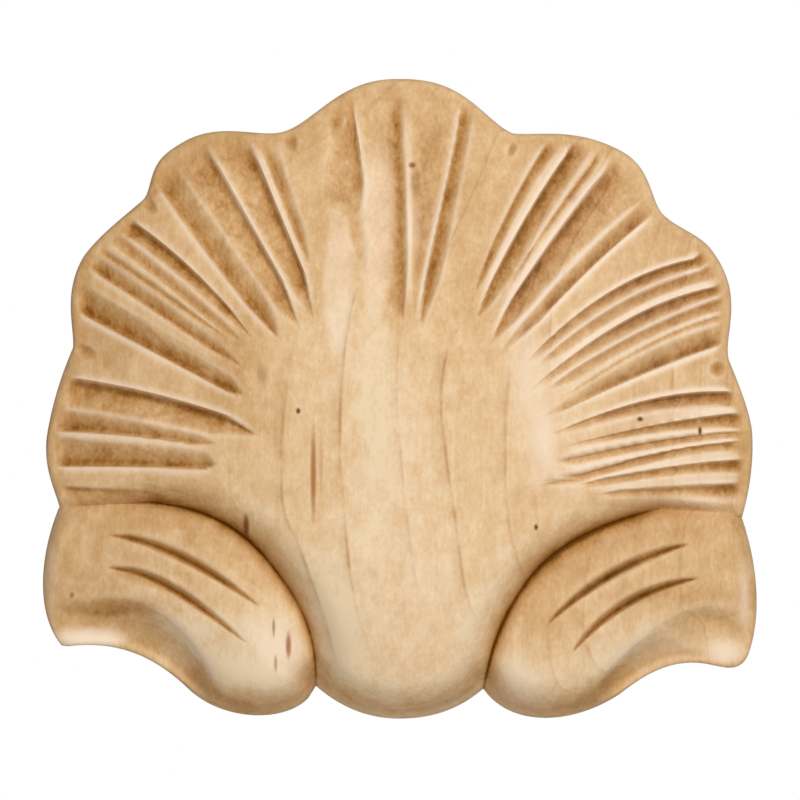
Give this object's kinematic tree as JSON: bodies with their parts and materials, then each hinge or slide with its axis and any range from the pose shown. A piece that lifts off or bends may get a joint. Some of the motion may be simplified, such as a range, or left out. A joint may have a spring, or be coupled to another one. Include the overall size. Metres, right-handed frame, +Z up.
{
  "type": "carved shell ornament",
  "caption": "Flat-backed carved wooden shell applique: a scalloped fan of gouged flutes over a smooth domed stem, with a scroll leaf curling away on each side.",
  "frame": {"origin": "middle of the flat back, half way across the width and half way up the height", "axes": "+Z up towards the fan's crest, +X to the right as seen from the front, +Y out of the flat back into the surface it is fixed to, so the carving faces -Y"},
  "size_m": [0.1144, 0.0189, 0.1026],
  "materials": {
    "maple": "unfinished sanded pale hard maple with darker end grain in the gouge cuts"
  },
  "bodies": {
    "root": {"shell_ornament": "maple"}
  },
  "joints": []
}
